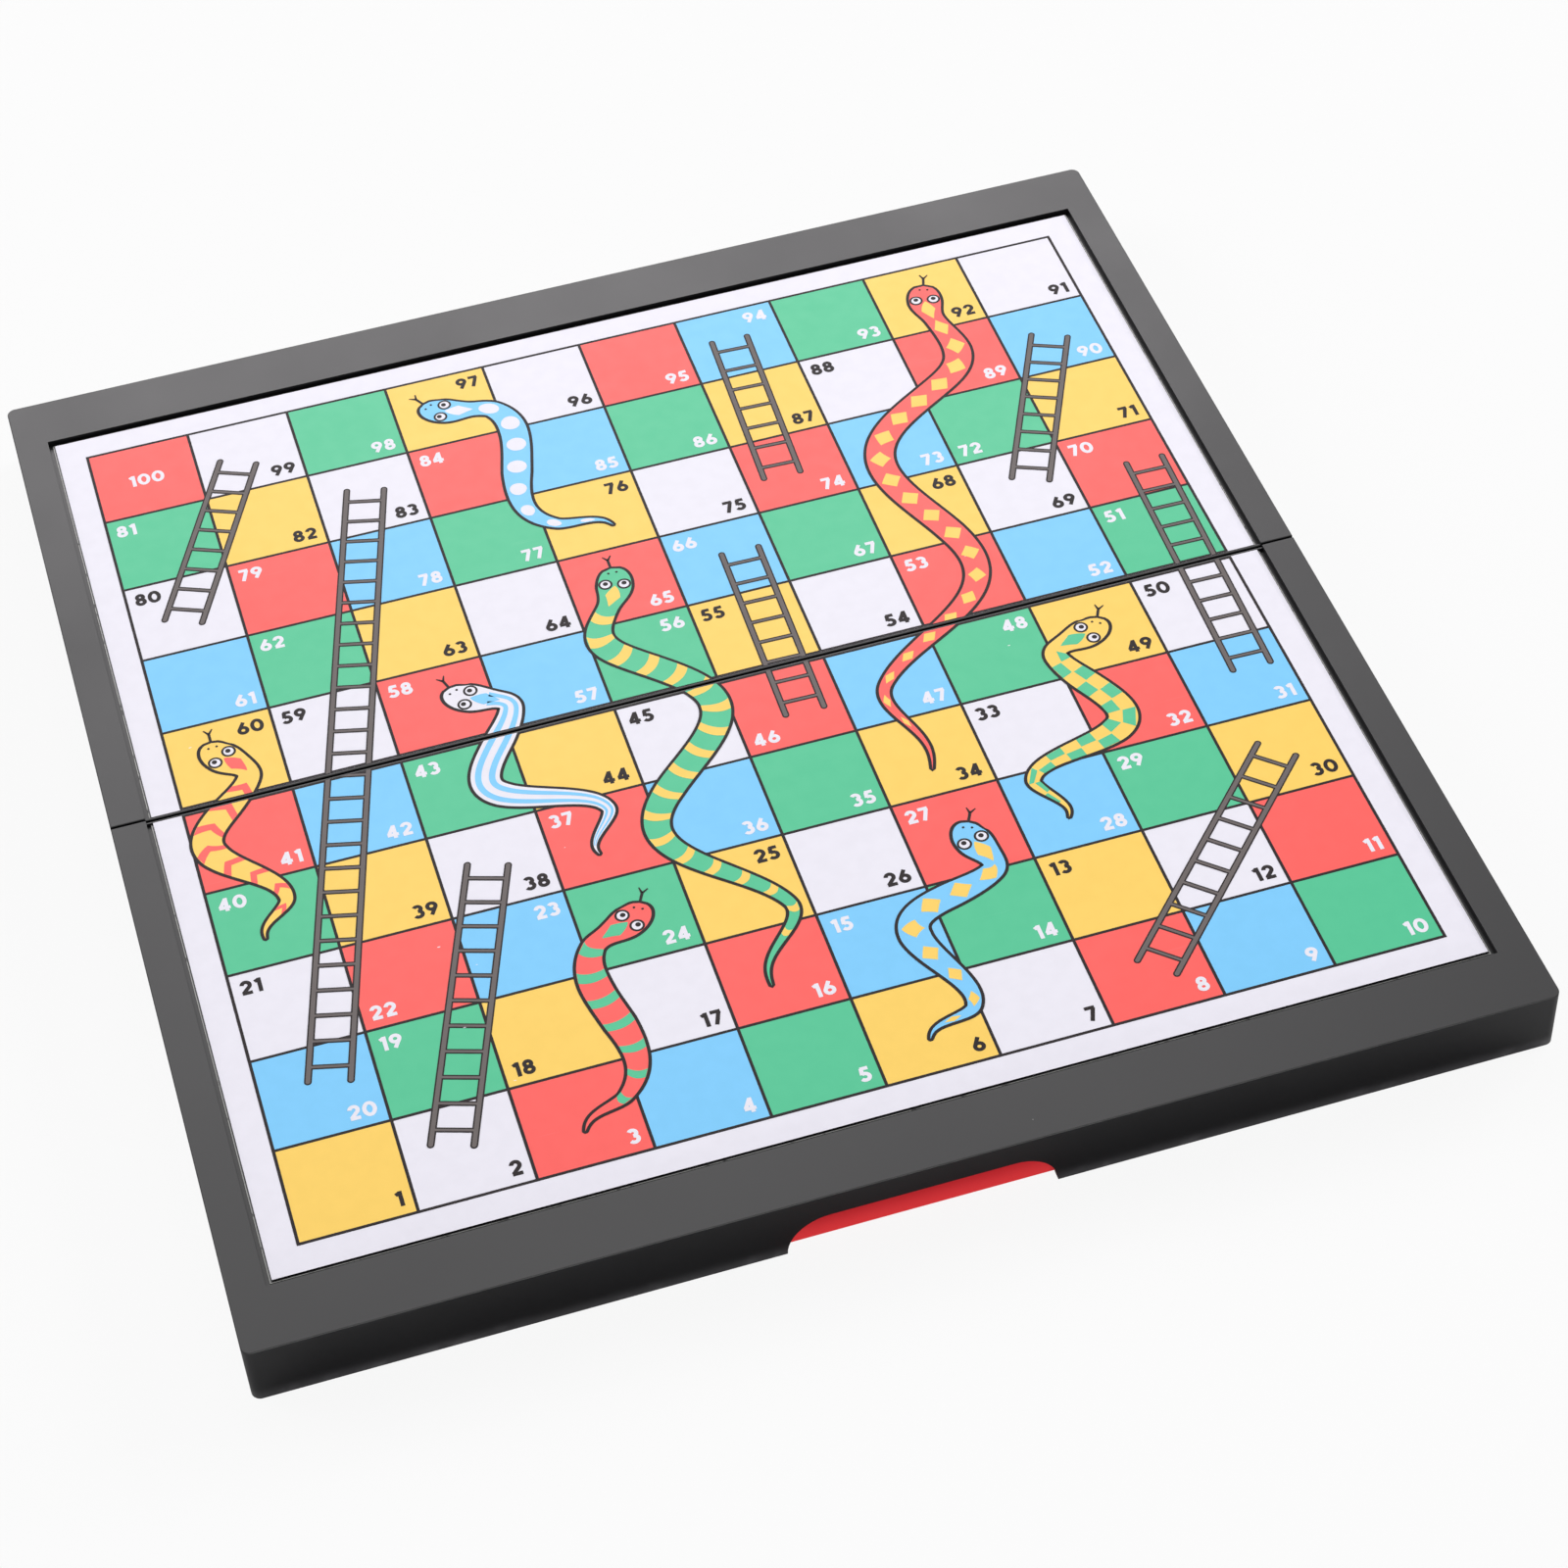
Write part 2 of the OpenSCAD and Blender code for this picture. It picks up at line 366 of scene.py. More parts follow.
printLook = {
    "sheet": (0.860, 0.841, 0.925),
    "cutEdge": (0.030, 0.026, 0.030),
    "edgeBelow": 13.40,  # mm, the cut edge is dark below this level
    "nick": (0.88, 0.86, 0.93),
    "roughness": 0.42,
    "specular": 0.50,
    "whiteSpecular": 0.16,  # bare sheet is duller than the inks
    "darkSpecular": 0.16,
    "greySpecular": 0.16,
    "mottle": 310.0,  # clouds per metre, and so are the next four
    "drift": 9.0,
    "film": 1500.0,
    "nicks": 170.0,
    "rubs": 46.0,
    "relief": 0.00004,  # m
}
inkColours = {
    "red": (0.950, 0.098, 0.086),
    "blue": (0.185, 0.580, 0.940),
    "green": (0.058, 0.515, 0.268),
    "yellow": (0.950, 0.620, 0.105),
    "white": (0.860, 0.841, 0.925),
    "dark": (0.013, 0.009, 0.010),
    "grey": (0.150, 0.130, 0.127),
}


def printFinish(name, colour, specular, cutEdge=None):
    # one flat ink under the clear film: faint mottle, film grain, fine rubs and pale nicks
    f = Finish(name)
    look = printLook
    mottle = f.noise(look["mottle"], 3.0)
    drift = f.noise(look["drift"])
    film = f.noise(look["film"])
    nick = f.specks(look["nicks"], 0.055, 0.03, (1.0, 2.6, 1.0))
    rub = f.between(f.noise(look["rubs"], 2.0, (1.0, 26.0, 1.0)), 0.72, 0.82)
    faint = f.between(mottle, 0.30, 0.72) * 0.5 + drift * 0.3
    body = f.blend(faint, rgba(colour), rgba(colour, 0.955))
    tint = f.blend(nick * 0.75 + rub * 0.035, body, rgba(look["nick"]))
    if cutEdge is not None:
        tint = f.blend(f.axis("Z") < look["edgeBelow"] * mm, tint, rgba(cutEdge))
    rough = look["roughness"] + (mottle - 0.5) * 0.10 + (drift - 0.5) * 0.12 + rub * 0.05
    return f.surface({
        "Base Color": tint,
        "Roughness": rough,
        "Specular IOR Level": specular,
        "Normal": f.bump(film + mottle * 0.6, 0.06, look["relief"]),
    })


inkFinishes = {}
for ink, colour in inkColours.items():
    specular = printLook.get(ink + "Specular", printLook["specular"])
    inkFinishes[ink] = printFinish(ink + " print ink", colour, specular)

sheetLook = (printLook["sheet"], printLook["whiteSpecular"], printLook["cutEdge"])
nodeFinishes = {  # by the word in a node's name
    "shell": shellFinish(shellLook),
    "tray": trayFinish(trayLook),
    "link": linkFinish(linkLook),
    "pin": metalFinish("drawn steel wire", pinLook),
    "plate": plateFinish(plateLook),
    "magnet": metalFinish("nickel plating", magnetLook),
    "sheet": printFinish("print sheet", *sheetLook),
}
for nodeName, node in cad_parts.items():
    finish = next(look for word, look in nodeFinishes.items() if word in nodeName)
    for materialSlot in node.material_slots:
        materialSlot.material = finish
print("board: finishes given to", sorted(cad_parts))

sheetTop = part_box("front_print_sheet")[1].z / mm

board = {
    "sideX": 110.6,  # mm, outer lines of the squares
    "endY": 110.3,
    "foldY": 0.83,  # where the squares of each half begin at the fold
    "cutY": 0.82,  # figures that cross the fold are cut here
    "line": 0.61,
    "foldLine": 0.48,  # the lines along the fold are thinner
    "layer": 0.014,  # rise of each printed layer over the last
}
cellW = 2 * board["sideX"] / 10
cellD = (board["endY"] - board["foldY"]) / 5
layers = {  # order of the printed layers from the sheet up; a lift is a share of one layer
    "cell": 1, "line": 2, "ladder": 3, "outline": 4, "body": 5, "mark": 6, "eye": 7, "pupil": 8,
}
inkPlates = {ink: [] for ink in inkColours}


def plate(plan, level, ring=False):
    # flat closed plate: the grid of plan points at its layer's height, the same points sunk into the
    # sheet and turned over, and a wall below each edge that only one face uses
    count = plan.shape[0] * plan.shape[1]
    index = np.arange(count).reshape(plan.shape[:2])
    if ring:
        index = np.vstack([index, index[:1]])
    corners = [index[:-1, :-1], index[1:, :-1], index[1:, 1:], index[:-1, 1:]]
    top = np.stack(corners, -1).reshape(-1, 4)
    flat = plan.reshape(-1, 2)
    across = flat[top[:, 2]] - flat[top[:, 0]]
    along = flat[top[:, 3]] - flat[top[:, 1]]
    if (across[:, 0] * along[:, 1] - across[:, 1] * along[:, 0]).sum() < 0:
        top = top[:, ::-1]
    edges = np.stack([top, np.roll(top, -1, 1)], -1).reshape(-1, 2)
    single = ~np.isin(edges[:, 0] * count + edges[:, 1], edges[:, 1] * count + edges[:, 0])
    first, second = edges[single].T
    walls = np.stack([second, first, first + count, second + count], -1)
    heights = (sheetTop + board["layer"] * level, sheetTop - board["layer"])
    points = np.vstack([np.column_stack([flat, np.full(count, z)]) for z in heights])
    return points, np.vstack([top, top[:, ::-1] + count, walls])


def lay(ink, plan, layer, lift=0.0, ring=False):
    # adds a plate to its ink
    inkPlates[ink].append(plate(np.asarray(plan, float), layers[layer] + lift, ring))


def normalsOf(path, ring=False):
    # unit vectors square to the path, to its left
    step = np.roll(path, -1, 0) - np.roll(path, 1, 0) if ring else np.gradient(path, axis=0)
    return np.column_stack([-step[:, 1], step[:, 0]]) / np.hypot(*step.T)[:, None]


def ribbon(path, half, ring=False):
    # the path's points moved to both sides along its normal, by half the width at each point
    side = normalsOf(path, ring) * np.broadcast_to(half, len(path))[:, None]
    return np.stack([path - side, path + side], 1)


def disc(centre, radius, count=17):
    # circle as a ribbon along its own diameter, as wide as the chord at each point, from just inside one
    # end to just inside the other
    tip = 0.04
    angle = np.linspace(tip, math.pi - tip, count)
    path = np.column_stack([centre[0] - radius * np.cos(angle), np.full(count, centre[1])])
    return ribbon(path, radius * np.sin(angle))


def bar(start, end, width):
    # straight stroke with square ends
    return ribbon(np.array([start, end], float), width / 2)


def roundBar(start, end, width):
    # straight stroke whose ends narrow as a circle does over the last half width, nearly to a point
    tip = 0.06
    length = np.hypot(*(end - start))
    angle = np.linspace(tip, math.pi / 2, 7)
    cap = width / 2 * (1 - np.cos(angle))
    along = np.concatenate([cap, length - cap[::-1]])
    half = width / 2 * np.sin(np.concatenate([angle, angle[::-1]]))
    return ribbon(start + along[:, None] * (end - start) / length, half)


def squareOf(number):
    # column from the left and row from the back; rows run to and fro from square 1 at the front left
    row, step = divmod(number - 1, 10)
    return (step if row % 2 == 0 else 9 - step), 9 - row


def cellBox(column, row):
    # left, front, right and back edge of a square, mm
    left = -board["sideX"] + column * cellW
    back = board["endY"] - row * cellD if row < 5 else -board["foldY"] - (row - 5) * cellD
    return left, back - cellD, left + cellW, back


def spotIn(number, offset):
    # plan point in a square, so far from its middle, mm
    left, front, right, back = cellBox(*squareOf(number))
    return np.array([(left + right) / 2 + offset[0], (front + back) / 2 + offset[1]])


cycle = ["red", "blue", "green", "yellow", "white"]


def cellInk(column, row):
    # the cycle runs along a row and moves on by two from row to row; only square 99 falls out of it
    if (column, row) == squareOf(99):
        return "white"
    return cycle[(column + 2 * row) % 5]


def layCells():
    # a colour for each square; white squares are bare sheet
    for row in range(10):
        for column in range(10):
            ink = cellInk(column, row)
            if ink != "white":
                left, front, right, back = cellBox(column, row)
                lay(ink, [[(left, front), (left, back)], [(right, front), (right, back)]], "cell")


def layLines():
    # straight strokes between the squares of each half, with the border lines among them
    width = board["line"]
    side = board["sideX"]
    for sign in (-1, 1):
        rows = np.linspace(board["foldY"], board["endY"], 6)
        rows[0] += board["foldLine"] / 2
        ends = (board["foldY"] * sign, (board["endY"] + width / 2) * sign)
        for x in np.linspace(-side, side, 11):
            lay("dark", bar((x, ends[0]), (x, ends[1]), width), "line")
        for row, y in enumerate(rows * sign):
            across = board["foldLine"] if row == 0 else width
            lay("dark", bar((-side - width / 2, y), (side + width / 2, y), across), "line", 0.15)


layCells()
layLines()
print("board: squares and lines laid out")

ladderLook = {  # mm
    "rail": 1.45,
    "rung": 1.10,
    "outline": 0.29,  # dark edge round the grey core
    "gauge": 8.0,  # between the middles of the rails
    "pitch": 6.1,  # from rung to rung, about
    "overrun": 4.2,  # rail past the last rungs
}
ladders = [  # squares of foot and head, and how far from their middles, mm
    {"foot": 20, "head": 83, "footAt": (2.0, 1.0), "headAt": (0.0, 3.0)},
    {"foot": 2, "head": 38, "footAt": (-2.0, 1.0), "headAt": (-1.0, 1.0)},
    {"foot": 8, "head": 30, "footAt": (1.0, -1.0), "headAt": (0.0, 1.0)},
    {"foot": 31, "head": 70, "footAt": (3.5, 1.0), "headAt": (5.0, 0.0)},
    {"foot": 46, "head": 66, "footAt": (3.0, -3.0), "headAt": (4.0, 2.0)},
    {"foot": 80, "head": 99, "footAt": (-1.0, -3.0), "headAt": (-2.0, -1.0)},
    {"foot": 74, "head": 94, "footAt": (-3.0, -2.0), "headAt": (-1.0, 2.0)},
    {"foot": 69, "head": 90, "footAt": (2.0, 1.0), "headAt": (0.0, 1.0)},
]
covered = []  # x, y and half width of what the figures cover, so that the numbers keep clear


def layLadder(spec):
    # two parallel rails and rungs between them, at an even pitch inside the rails' ends: dark first, then
    # a grey core inside the outline
    foot = spotIn(spec["foot"], spec["footAt"])
    head = spotIn(spec["head"], spec["headAt"])
    length = np.hypot(*(head - foot))
    way = (head - foot) / length
    side = np.array([-way[1], way[0]]) * ladderLook["gauge"] / 2
    low, high = ladderLook["overrun"], length - ladderLook["overrun"]
    count = round((high - low) / ladderLook["pitch"]) + 1
    rungs = foot + np.linspace(low, high, count)[:, None] * way
    for ink, inset, lift in (("dark", 0.0, 0.0), ("grey", ladderLook["outline"], 0.4)):
        rail, rung = ladderLook["rail"] - 2 * inset, ladderLook["rung"] - 2 * inset
        for sign in (-1, 1):
            ends = (foot + way * inset + side * sign, head - way * inset + side * sign)
            lay(ink, roundBar(*ends, rail), "ladder", lift)
        for middle in rungs:
            lay(ink, bar(middle - side, middle + side, rung), "ladder", lift + 0.2)
    middles = foot + np.arange(0, length)[:, None] * way
    reach = (ladderLook["gauge"] + ladderLook["rail"]) / 2
    covered.append(np.column_stack([middles, np.full(len(middles), reach)]))


for spec in ladders:
    layLadder(spec)
print("board: ladders laid out", len(ladders))

snakeLook = {  # mm
    "outline": 0.66,
    "headHalf": 3.5,  # half width at the eyes
    "headLong": 5.4,  # nose to the widest place
    "headPower": 2.3,  # 2 is an ellipse, more is blunter
    "neckHalf": 2.1,
    "neckAt": 12.0,
    "bodyHalf": 2.9,
    "bodyAt": 25.0,
    "tailShare": 0.46,  # share of the length that tapers
    "tailPower": 0.85,
    "thinnest": 0.03,
    "swingIn": 0.22,  # shares of the length over which the swing fades in and out
    "swingOut": 0.16,
    "lead": 4.0,  # straight run of its line past the nose and the tail
    "firstMark": 15.0,
    "lastMark": 0.93,  # share of the length
    "markShrink": 0.42,  # how much shorter the marks get towards the tail
    "crownAt": 8.4,
    "crownLong": 3.1,
    "crownWide": 0.55,  # share of the half width, and so is the side of an eye and of a nostril
    "eyeAt": 4.8,
    "eyeSide": 0.56,
    "eye": 1.05,
    "eyeRing": 0.45,
    "pupil": 0.54,
    "pupilAhead": 0.22,
    "nostrilAt": 1.3,
    "nostrilSide": 0.34,
    "nostril": 0.26,
    "tongue": 2.8,
    "tongueHalf": 0.28,
    "fork": 3.9,
    "forkHalf": (0.26, 0.11),
    "forkSpread": 0.9,
}
snakes = [  # squares of head and tail, how far from their middles, swing to the side, number of swings
    {"head": 92, "tail": 34, "headAt": (1, 4), "tailAt": (0, -4), "sway": 10, "waves": 2.0,
     "back": "red", "mark": "yellow", "pattern": "lozenges"},
    {"head": 65, "tail": 16, "headAt": (-1, 5), "tailAt": (-2, -3), "sway": -10, "waves": 2.0,
     "back": "green", "mark": "yellow", "pattern": "bands"},
    {"head": 97, "tail": 76, "headAt": (-4, 3), "tailAt": (3, -4), "sway": 9, "waves": 1.0,
     "back": "blue", "mark": "white", "pattern": "saddles"},
    {"head": 60, "tail": 40, "headAt": (-2, 5), "tailAt": (-2, -4), "sway": 6, "waves": 1.5,
     "back": "yellow", "mark": "red", "pattern": "chevrons"},
    {"head": 58, "tail": 37, "headAt": (3, 4), "tailAt": (-2, -4), "sway": 8, "waves": 1.5,
     "back": "white", "mark": "blue", "pattern": "stripes"},
    {"head": 49, "tail": 28, "headAt": (1, 3), "tailAt": (-1, -3), "sway": -8, "waves": 1.5,
     "back": "yellow", "mark": "green", "pattern": "checks"},
    {"head": 27, "tail": 6, "headAt": (2, 2), "tailAt": (0, -3), "sway": 7, "waves": 1.5,
     "back": "blue", "mark": "yellow", "pattern": "lozenges"},
    {"head": 24, "tail": 3, "headAt": (2, 3), "tailAt": (0, -3), "sway": -7, "waves": 1.0,
     "back": "red", "mark": "green", "pattern": "bands"},
]


def smooth(value):
    # eased step from 0 to 1: three squares less two cubes
    value = np.clip(value, 0, 1)
    return value * value * (3 - 2 * value)


def snakeLine(spec):
    # straight from nose to tail, swung sideways by a sine that fades in and out at the ends, cut into
    # equal lengths and led on straight past both ends
    k = snakeLook
    nose = spotIn(spec["head"], spec["headAt"])
    reach = spotIn(spec["tail"], spec["tailAt"]) - nose
    side = np.array([-reach[1], reach[0]]) / np.hypot(*reach)
    share = np.linspace(0, 1, 900)
    swing = spec["sway"] * np.sin(2 * math.pi * spec["waves"] * share)
    swing = swing * smooth(share / k["swingIn"]) * smooth((1 - share) / k["swingOut"])
    path = nose + share[:, None] * reach + swing[:, None] * side
    gone = np.concatenate([[0.0], np.cumsum(np.hypot(*np.diff(path, axis=0).T))])
    along = np.linspace(0, gone[-1], 420)
    path = np.column_stack([np.interp(along, gone, column) for column in path.T])
    lead = k["lead"] / along[1]
    before = path[0] + (path[0] - path[1]) * lead
    after = path[-1] + (path[-1] - path[-2]) * lead
    path = np.vstack([before, path, after])
    along = np.concatenate([[-k["lead"]], along, [along[-1] + k["lead"]]])
    return {"path": path, "along": along, "normal": normalsOf(path), "total": along[-2]}


def snakeHalf(at, total, grow=0.0):
    # half width at a length from the nose: blunt ellipse for the head, down to the neck, up to the body
    # and a taper to the tail's tip; grow moves the whole outline outwards
    k = snakeLook
    nose = np.clip((k["headLong"] - at) / (k["headLong"] + grow), 0, 1)
    head = (k["headHalf"] + grow) * (1 - nose ** k["headPower"]) ** (1 / k["headPower"])
    toNeck = smooth((at - k["headLong"]) / (k["neckAt"] - k["headLong"]))
    toBody = smooth((at - k["neckAt"]) / (k["bodyAt"] - k["neckAt"]))
    neck = (k["neckHalf"] - k["headHalf"]) * toNeck
    body = (k["bodyHalf"] - k["neckHalf"]) * toBody
    taper = np.clip((total - at) / (total * k["tailShare"]), 0, 1) ** k["tailPower"]
    half = (k["headHalf"] + neck + body) * taper + grow
    tip = np.sqrt(np.clip(1 - (np.clip(at - total, 0, None) / max(grow, 1e-6)) ** 2, 0, 1))
    half = np.where(at > total, grow * tip, half)
    return np.maximum(np.where(at < k["headLong"], head, half), k["thinnest"])


def onSnake(line, at, across, grow=0.0):
    # plan point at a length from the nose and a share of the half width to the side
    half = snakeHalf(at, line["total"], grow) * across
    columns = (*line["path"].T, *line["normal"].T)
    x, y, sideX, sideY = (np.interp(at, line["along"], column) for column in columns)
    return np.stack([x + sideX * half, y + sideY * half], -1)


def crossed(along, across):
    # grid of every length with every share to the side
    return np.meshgrid(np.asarray(along, float), np.asarray(across, float), indexing="ij")


fullWidth = np.linspace(-1, 1, 9)
bothSides = (-1, 1)
pointed = np.linspace(-0.99, 0.99, 13)  # runs through a shape that comes to a point at both ends
rounded = np.sin(np.linspace(-1.5, 1.5, 13))  # the same for one with round ends


markLook = {  # long, bow, sweep and pitch in mm, the others are shares of the half width
    "bands": {"pitch": 6.4, "long": 1.3, "bow": 0.8},
    "chevrons": {"pitch": 6.0, "long": 2.2, "sweep": 2.2},
    "lozenges": {"pitch": 7.0, "long": 2.9, "wide": 0.78},
    "saddles": {"pitch": 7.2, "long": 2.5, "wide": 0.74},
    "checks": {"pitch": 3.6, "long": 1.7, "inner": 0.06},
    "stripes": {"start": 9.0, "end": 0.97, "inner": 0.26, "outer": 0.70},  # mm, share of the length
}


def bandMark(look):
    # across the whole back, bowed towards the tail
    a, t = crossed((-look["long"], look["long"]), fullWidth)
    return a + look["bow"] * (1 - t * t), t


def chevronMark(look):
    # two legs that run back from the middle
    a, t = crossed((0.0, look["long"]), fullWidth)
    return a + look["sweep"] * abs(t), t


def lozengeMark(look):
    # narrows evenly to both ends
    a, t = crossed(pointed, bothSides)
    return a * look["long"], t * look["wide"] * (1 - abs(a))


def saddleMark(look):
    # narrows to both ends as an ellipse does
    a, t = crossed(rounded, bothSides)
    return a * look["long"], t * look["wide"] * np.sqrt(1 - a * a)


def checkMark(look):
    # one side of the back, the other side at the next mark
    return crossed((-look["long"], look["long"]), np.linspace(look["inner"], 1.0, 5))


markShapes = {
    "bands": bandMark,
    "chevrons": chevronMark,
    "lozenges": lozengeMark,
    "saddles": saddleMark,
    "checks": checkMark,
}


def marksOf(pattern, total):
    # the marks of a pattern as grids of length from the nose and share of the half width
    look = markLook[pattern]
    if pattern == "stripes":
        along = np.linspace(look["start"], total * look["end"], 160)
        for sign in bothSides:
            yield crossed(along, (look["inner"] * sign, look["outer"] * sign))
        return
    a, t = markShapes[pattern](look)
    changes = pattern == "checks"  # these change sides and keep their length
    stops = np.arange(snakeLook["firstMark"], total * snakeLook["lastMark"], look["pitch"])
    for step, at in enumerate(stops):
        shrink = 1.0 if changes else 1 - snakeLook["markShrink"] * at / total
        yield at + a * shrink, t * (-1 if changes and step % 2 else 1)


def layHead(spec, line):
    # crown mark, and on each side an eye, a nostril and a fork of the tongue
    k = snakeLook
    a, t = crossed(pointed, bothSides)
    crown = onSnake(line, k["crownAt"] + k["crownLong"] * a, k["crownWide"] * t * (1 - abs(a)) ** 0.8)
    lay(spec["mark"], crown, "mark")
    tongue = onSnake(line, np.array([0.0, -k["tongue"]]), np.zeros(2))
    lay("dark", ribbon(tongue, k["tongueHalf"]), "outline", 0.1)
    for sign in bothSides:
        eye = onSnake(line, k["eyeAt"], k["eyeSide"] * sign)
        pupil = onSnake(line, k["eyeAt"] - k["pupilAhead"], k["eyeSide"] * sign)
        nostril = onSnake(line, k["nostrilAt"], k["nostrilSide"] * sign)
        lay("dark", disc(eye, k["eye"] + k["eyeRing"]), "mark", 0.3)
        lay("white", disc(eye, k["eye"]), "eye")
        lay("dark", disc(pupil, k["pupil"]), "pupil")
        lay("dark", disc(nostril, k["nostril"], 11), "eye")
        fork = onSnake(line, np.array([0.2 - k["tongue"], -k["fork"]]), np.zeros(2))
        fork[1] += line["normal"][0] * k["forkSpread"] * sign
        lay("dark", ribbon(fork, np.array(k["forkHalf"])), "outline", 0.2)


def laySnake(spec):
    # dark outline, back colour over it, then the marks and the head
    line = snakeLine(spec)
    total, edge = line["total"], snakeLook["outline"]
    outline = crossed(np.linspace(-edge, total + edge, 260), bothSides)
    back = crossed(np.linspace(0, total, 260), bothSides)
    lay("dark", onSnake(line, *outline, edge), "outline")
    lay(spec["back"], onSnake(line, *back), "body")
    for at, across in marksOf(spec["pattern"], total):
        lay(spec["mark"], onSnake(line, at, across), "mark")
    layHead(spec, line)
    covered.append(np.column_stack([line["path"], snakeHalf(line["along"], total) + edge]))


for spec in snakes:
    laySnake(spec)
print("board: snakes laid out", len(snakes))

numberLook = {
    "tall": 3.45,  # mm
    "stroke": 0.232,  # share of the height
    "gap": 0.13,  # share of the height, from figure to figure
    "sideIn": 1.9,  # mm from the line at the side
    "endIn": 2.2,  # mm from the line in front or behind
    "clear": 0.8,  # mm to the next snake or ladder
}


def arc(cx, cy, rx, ry, first, last, count=20):
    # part of an ellipse, between two angles in degrees
    angle = np.radians(np.linspace(first, last, count))
    return np.column_stack([cx + rx * np.cos(angle), cy + ry * np.sin(angle)])


def strokeOf(*points):
    # straight from point to point
    return np.array(points, float)


def ringOf(cx, cy, rx, ry):
    # whole ellipse; it stops one step short, and the plate closes it
    return arc(cx, cy, rx, ry, 0, 345, 24)


# round bold figures one unit tall: width, open strokes, closed strokes, all along the stroke's middle
figures = {
    "0": (0.76, [], [ringOf(0.38, 0.5, 0.28, 0.40)]),
    "1": (0.42, [strokeOf((0.30, 0.0), (0.30, 1.0)), strokeOf((0.30, 0.90), (0.06, 0.78))], []),
    "2": (0.66, [
        np.vstack([arc(0.33, 0.67, 0.22, 0.23, 172, -32), [(0.12, 0.13)]]),
        strokeOf((0.06, 0.10), (0.62, 0.10)),
    ], []),
    "3": (0.62, [
        arc(0.28, 0.705, 0.20, 0.195, 150, -90),
        arc(0.28, 0.315, 0.23, 0.215, 90, -150),
    ], []),
    "4": (0.72, [
        strokeOf((0.47, 0.0), (0.47, 1.0)),
        strokeOf((0.47, 0.93), (0.10, 0.30)),
        strokeOf((0.03, 0.27), (0.68, 0.27)),
    ], []),
    "5": (0.64, [
        strokeOf((0.14, 0.90), (0.57, 0.90)),
        strokeOf((0.20, 0.92), (0.15, 0.48)),
        arc(0.28, 0.325, 0.24, 0.225, 125, -150),
    ], []),
    "6": (0.68, [strokeOf((0.13, 0.42), (0.44, 0.96))], [ringOf(0.34, 0.325, 0.235, 0.225)]),
    "7": (0.62, [strokeOf((0.03, 0.90), (0.60, 0.90)), strokeOf((0.52, 0.88), (0.20, 0.0))], []),
    "8": (0.66, [], [ringOf(0.33, 0.715, 0.185, 0.185), ringOf(0.33, 0.305, 0.225, 0.205)]),
}
sixWidth, sixStrokes, sixRings = figures["6"]
halfTurn = np.array([sixWidth, 1.0])  # a point taken from this is turned half round in the figure's box
nineStrokes = [halfTurn - way for way in sixStrokes]
nineRings = [halfTurn - way for way in sixRings]
figures["9"] = (sixWidth, nineStrokes, nineRings)


def numberWidth(number):
    # its figures side by side with the gaps between them, mm
    digits = str(number)
    gaps = numberLook["gap"] * (len(digits) - 1)
    return numberLook["tall"] * (sum(figures[digit][0] for digit in digits) + gaps)


def numberSpot(number, figureSpots):
    # the first corner of the square where the figures leave room, or else the roomiest one
    left, front, right, back = cellBox(*squareOf(number))
    width, tall = numberWidth(number), numberLook["tall"]
    if number == 100:
        return (left + right - width) / 2, (front + back - tall) / 2
    lowX, highX = left + numberLook["sideIn"], right - numberLook["sideIn"] - width
    lowY, highY = front + numberLook["endIn"], back - numberLook["endIn"] - tall
    x, y, reach = figureSpots.T
    best = None
    for spotX, spotY in ((highX, lowY), (lowX, highY), (highX, highY), (lowX, lowY)):
        besideX = np.maximum(np.maximum(spotX - x, x - spotX - width), 0)
        besideY = np.maximum(np.maximum(spotY - y, y - spotY - tall), 0)
        room = (np.hypot(besideX, besideY) - reach).min()
        if room > numberLook["clear"]:
            return spotX, spotY
        if best is None or room > best[0]:
            best = (room, spotX, spotY)
    print("board: number", number, "has little room", round(best[0], 2))
    return best[1:]


def layNumber(number, figureSpots):
    # the figures' strokes as ribbons, dark on pale squares and white on the others; each stroke lies a
    # little higher than the last, so that no two tops share a level
    x, y = numberSpot(number, figureSpots)
    ink = "dark" if cellInk(*squareOf(number)) in ("yellow", "white") else "white"
    tall = numberLook["tall"]
    half = tall * numberLook["stroke"] / 2
    for digit in str(number):
        width, strokes, rings = figures[digit]
        for step, way in enumerate(strokes):
            lay(ink, ribbon(way * tall + (x, y), half), "line", 0.2 + 0.1 * step)
        for step, way in enumerate(rings):
            lay(ink, ribbon(way * tall + (x, y), half, True), "line", 0.5 + 0.1 * step, True)
        x += tall * (width + numberLook["gap"])


for number in range(1, 101):
    layNumber(number, np.vstack(covered))
print("board: numbers laid out")


